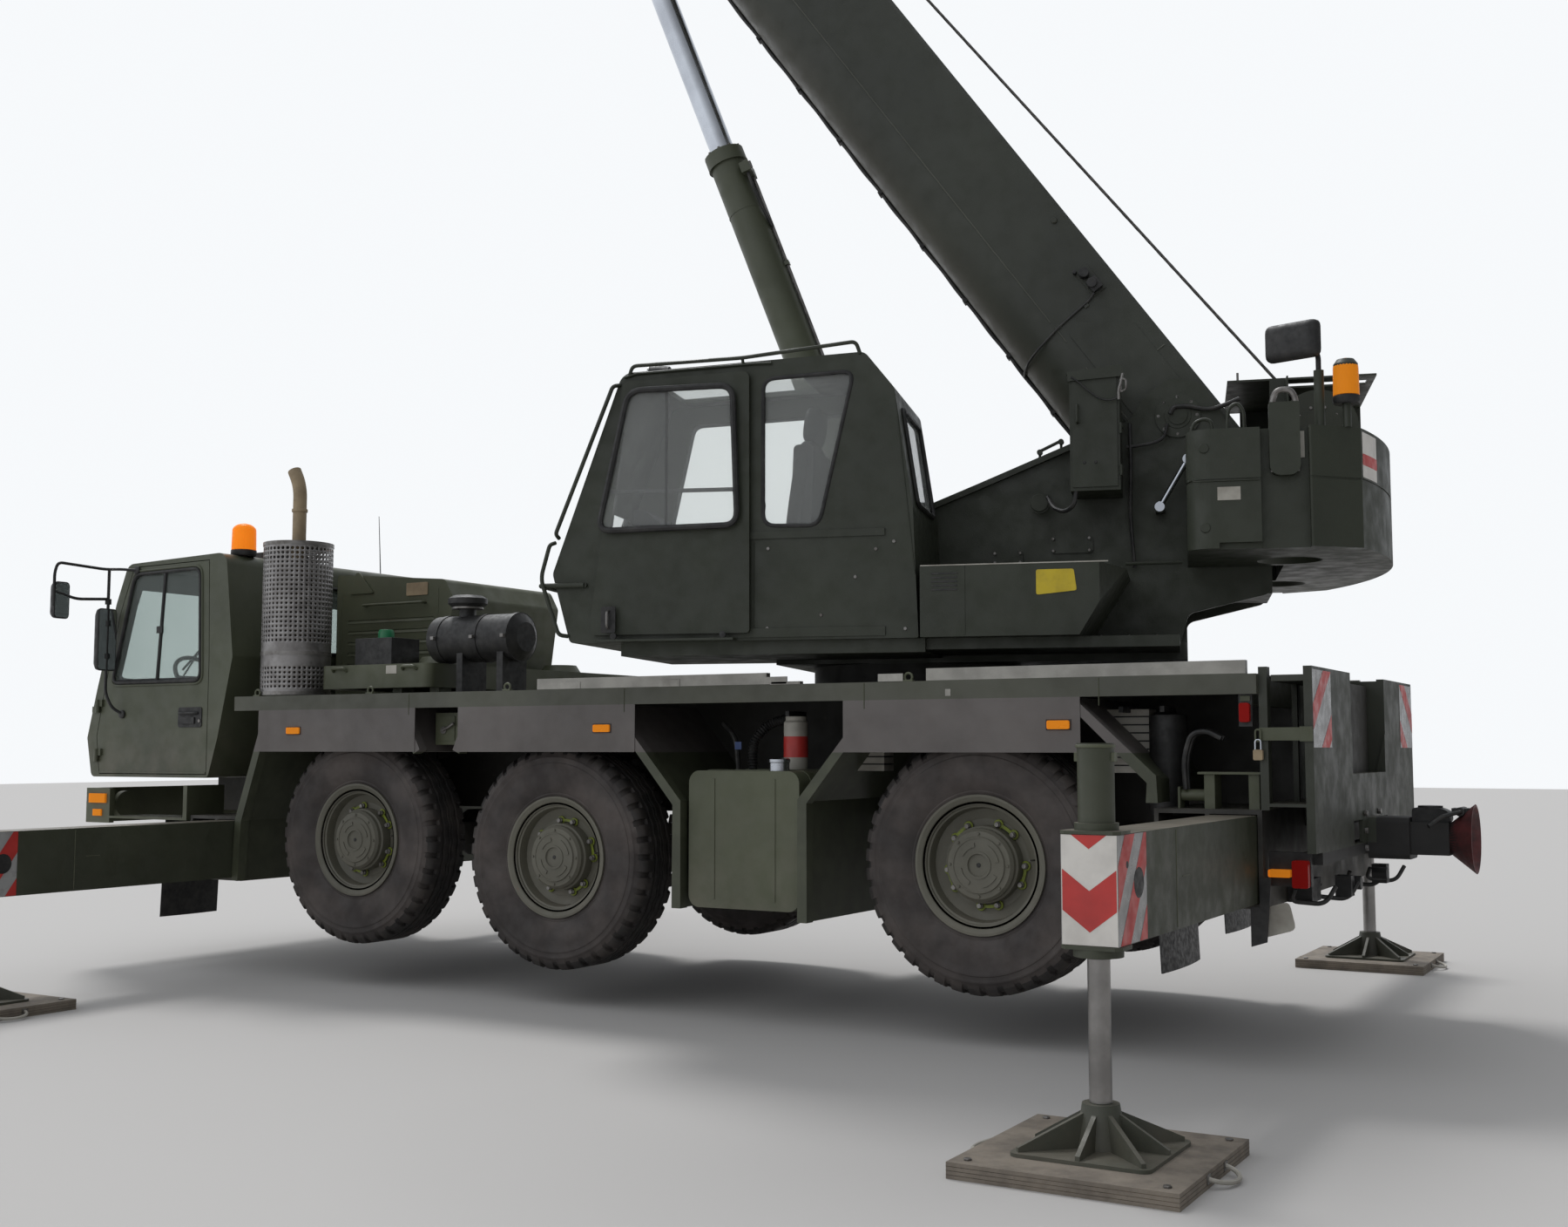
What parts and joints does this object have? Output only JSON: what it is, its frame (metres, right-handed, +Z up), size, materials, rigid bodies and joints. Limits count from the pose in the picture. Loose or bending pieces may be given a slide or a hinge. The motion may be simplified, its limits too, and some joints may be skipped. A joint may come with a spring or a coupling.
{
  "type": "mobile crane",
  "caption": "All-terrain mobile crane on its outriggers: wheeled carrier with driving cab and deck, slewing upper works with crane cab, counterweight and winch, telescopic boom raised.",
  "frame": {"origin": "on the ground, at the middle of the carrier's length from the cab's nose to the coupling's mouth, on its centre line", "axes": "+Z up, +X to the rear of the carrier (its cab is at -X), +Y to the carrier's right-hand side; the upper works are slewed 16.5 degrees"},
  "size_m": [9.38, 7.38, 10.0664],
  "materials": {
    "paint_green": "matt drab paint",
    "paint_cab": "matt drab paint",
    "paint_hub": "matt drab paint, dusty",
    "tyre_rubber": "worn tread",
    "chassis_black": "dirty drab paint",
    "chrome_rod": "polished",
    "steel_guard": "perforated stainless sheet",
    "timber": "weathered plywood mat",
    "inside_black": "matt",
    "sheave_steel": "oiled"
  },
  "bodies": {
    "carrier": {"chassis_frame": "chassis_black", "deck": "paint_green", "mudguards": "paint_green", "axles": "chassis_black", "carrier_cab": "paint_cab", "cab_inside": "inside_black", "hood": "paint_green", "exhaust": "steel_guard", "air_cleaner": "inside_black", "deck_ballast": "paint_green", "tanks": "paint_green", "rear_rack": "paint_green", "front_bumper": "paint_green"},
    "knuckle_1l": {"knuckle_1l": "paint_hub"},
    "wheel_1l": {"tyre_1l": "tyre_rubber", "rim_1l": "paint_hub"},
    "knuckle_1r": {"knuckle_1r": "paint_hub"},
    "wheel_1r": {"tyre_1r": "tyre_rubber", "rim_1r": "paint_hub"},
    "knuckle_2l": {"knuckle_2l": "paint_hub"},
    "wheel_2l": {"tyre_2l": "tyre_rubber", "rim_2l": "paint_hub"},
    "knuckle_2r": {"knuckle_2r": "paint_hub"},
    "wheel_2r": {"tyre_2r": "tyre_rubber", "rim_2r": "paint_hub"},
    "wheel_3l": {"tyre_3l": "tyre_rubber", "rim_3l": "paint_hub"},
    "wheel_3r": {"tyre_3r": "tyre_rubber", "rim_3r": "paint_hub"},
    "beam_fl": {"beam_fl": "paint_green"},
    "jack_fl": {"jack_fl": "paint_green", "mat_fl": "timber"},
    "beam_fr": {"beam_fr": "paint_green"},
    "jack_fr": {"jack_fr": "paint_green", "mat_fr": "timber"},
    "beam_rl": {"beam_rl": "paint_green"},
    "jack_rl": {"jack_rl": "paint_green", "mat_rl": "timber"},
    "beam_rr": {"beam_rr": "paint_green"},
    "jack_rr": {"jack_rr": "paint_green", "mat_rr": "timber"},
    "cab_door_l": {"cab_door_l": "paint_cab"},
    "cab_door_r": {"cab_door_r": "paint_cab"},
    "upper_works": {"turntable": "paint_green", "counterweight": "paint_green", "winch": "paint_green", "crane_cab": "paint_cab", "crane_cab_inside": "inside_black", "housings": "paint_green"},
    "crane_door": {"crane_door": "paint_cab"},
    "boom_base": {"boom_base": "paint_green"},
    "boom_tele_1": {"boom_tele_1": "paint_green"},
    "boom_tele_2": {"boom_tele_2": "paint_green"},
    "boom_tele_3": {"boom_tele_3": "paint_green", "head_sheaves": "sheave_steel"},
    "luff_rod": {"luff_rod": "chrome_rod"},
    "luff_barrel": {"luff_barrel": "paint_green"},
    "hook_block": {"hook_block": "paint_green"}
  },
  "joints": [
    {"name": "steer_1l", "type": "hinge", "parent": "carrier", "child": "knuckle_1l", "pos_m": [-2.03, -0.86, 0.951], "axis": [0, 0, 1], "range_deg": [-20, 20]},
    {"name": "spin_1l", "type": "hinge", "parent": "knuckle_1l", "child": "wheel_1l", "pos_m": [-2.03, -1.09, 0.951], "axis": [0, 1, 0], "continuous": true},
    {"name": "steer_1r", "type": "hinge", "parent": "carrier", "child": "knuckle_1r", "pos_m": [-2.03, 0.86, 0.951], "axis": [0, 0, 1], "range_deg": [-20, 20]},
    {"name": "spin_1r", "type": "hinge", "parent": "knuckle_1r", "child": "wheel_1r", "pos_m": [-2.03, 1.09, 0.951], "axis": [0, 1, 0], "continuous": true},
    {"name": "steer_2l", "type": "hinge", "parent": "carrier", "child": "knuckle_2l", "pos_m": [-0.37, -0.86, 0.891], "axis": [0, 0, 1], "range_deg": [-12.6, 12.6]},
    {"name": "spin_2l", "type": "hinge", "parent": "knuckle_2l", "child": "wheel_2l", "pos_m": [-0.37, -1.09, 0.891], "axis": [0, 1, 0], "continuous": true},
    {"name": "steer_2r", "type": "hinge", "parent": "carrier", "child": "knuckle_2r", "pos_m": [-0.37, 0.86, 0.891], "axis": [0, 0, 1], "range_deg": [-12.6, 12.6]},
    {"name": "spin_2r", "type": "hinge", "parent": "knuckle_2r", "child": "wheel_2r", "pos_m": [-0.37, 1.09, 0.891], "axis": [0, 1, 0], "continuous": true},
    {"name": "spin_3l", "type": "hinge", "parent": "carrier", "child": "wheel_3l", "pos_m": [2.43, -1.09, 0.942], "axis": [0, 1, 0], "continuous": true},
    {"name": "spin_3r", "type": "hinge", "parent": "carrier", "child": "wheel_3r", "pos_m": [2.43, 1.09, 0.942], "axis": [0, 1, 0], "continuous": true},
    {"name": "outrigger_fl", "type": "slide", "parent": "carrier", "child": "beam_fl", "axis": [0, 1, 0], "range_m": [0, 1.8]},
    {"name": "jack_fl", "type": "slide", "parent": "beam_fl", "child": "jack_fl", "axis": [0, 0, 1], "range_m": [0, 0.38]},
    {"name": "outrigger_fr", "type": "slide", "parent": "carrier", "child": "beam_fr", "axis": [0, -1, 0], "range_m": [0, 1.8]},
    {"name": "jack_fr", "type": "slide", "parent": "beam_fr", "child": "jack_fr", "axis": [0, 0, 1], "range_m": [0, 0.38]},
    {"name": "outrigger_rl", "type": "slide", "parent": "carrier", "child": "beam_rl", "axis": [0, 1, 0], "range_m": [0, 1.8]},
    {"name": "jack_rl", "type": "slide", "parent": "beam_rl", "child": "jack_rl", "axis": [0, 0, 1], "range_m": [0, 0.38]},
    {"name": "outrigger_rr", "type": "slide", "parent": "carrier", "child": "beam_rr", "axis": [0, -1, 0], "range_m": [0, 1.8]},
    {"name": "jack_rr", "type": "slide", "parent": "beam_rr", "child": "jack_rr", "axis": [0, 0, 1], "range_m": [0, 0.38]},
    {"name": "cab_door_l", "type": "hinge", "parent": "carrier", "child": "cab_door_l", "pos_m": [-4.56, -1.353, 1.9], "axis": [0, 0, -1], "range_deg": [0, 70]},
    {"name": "cab_door_r", "type": "hinge", "parent": "carrier", "child": "cab_door_r", "pos_m": [-4.56, 1.353, 1.9], "axis": [0, 0, 1], "range_deg": [0, 70]},
    {"name": "slew", "type": "hinge", "parent": "carrier", "child": "upper_works", "pos_m": [1.48, 0, 2.05], "axis": [0, 0, 1], "continuous": true},
    {"name": "crane_door", "type": "slide", "parent": "upper_works", "child": "crane_door", "axis": [0.9588, 0.284, 0], "range_m": [0, 0.65]},
    {"name": "luff", "type": "hinge", "parent": "upper_works", "child": "boom_base", "pos_m": [3.0237, 0.45726, 3.494], "axis": [-0.284, 0.9588, 0], "range_deg": [-46, 24]},
    {"name": "telescope_1", "type": "slide", "parent": "boom_base", "child": "boom_tele_1", "axis": [-0.5636, -0.1669, 0.809], "range_m": [0, 5.4]},
    {"name": "telescope_2", "type": "slide", "parent": "boom_tele_1", "child": "boom_tele_2", "axis": [-0.5636, -0.1669, 0.809], "range_m": [0, 5.4]},
    {"name": "telescope_3", "type": "slide", "parent": "boom_tele_2", "child": "boom_tele_3", "axis": [-0.5636, -0.1669, 0.809], "range_m": [0, 5.4]},
    {"name": "luff_rod_eye", "type": "hinge", "parent": "boom_base", "child": "luff_rod", "pos_m": [-0.40676, -0.55888, 7.30236], "axis": [-0.284, 0.9588, 0], "range_deg": [-8.5, 2]},
    {"name": "luff_stroke", "type": "slide", "parent": "luff_rod", "child": "luff_barrel", "axis": [0.3406, 0.1009, -0.9348], "range_m": [-1.48, 0.78]},
    {"name": "hook_swing", "type": "hinge", "parent": "boom_tele_3", "child": "hook_block", "pos_m": [-1.894, -0.99943, 9.53256], "axis": [0.284, -0.9588, 0], "range_deg": [-46, 24]}
  ],
  "couplings": [
    {"joint": "steer_1r", "follows": "steer_1l", "ratio": 1},
    {"joint": "steer_2l", "follows": "steer_1l", "ratio": 0.63},
    {"joint": "steer_2r", "follows": "steer_1l", "ratio": 0.63},
    {"joint": "telescope_2", "follows": "telescope_1", "ratio": 1},
    {"joint": "telescope_3", "follows": "telescope_1", "ratio": 1},
    {"joint": "luff_rod_eye", "follows": "luff", "ratio": 0.05},
    {"joint": "luff_stroke", "follows": "luff", "m_per_rad": 1.83}
  ]
}
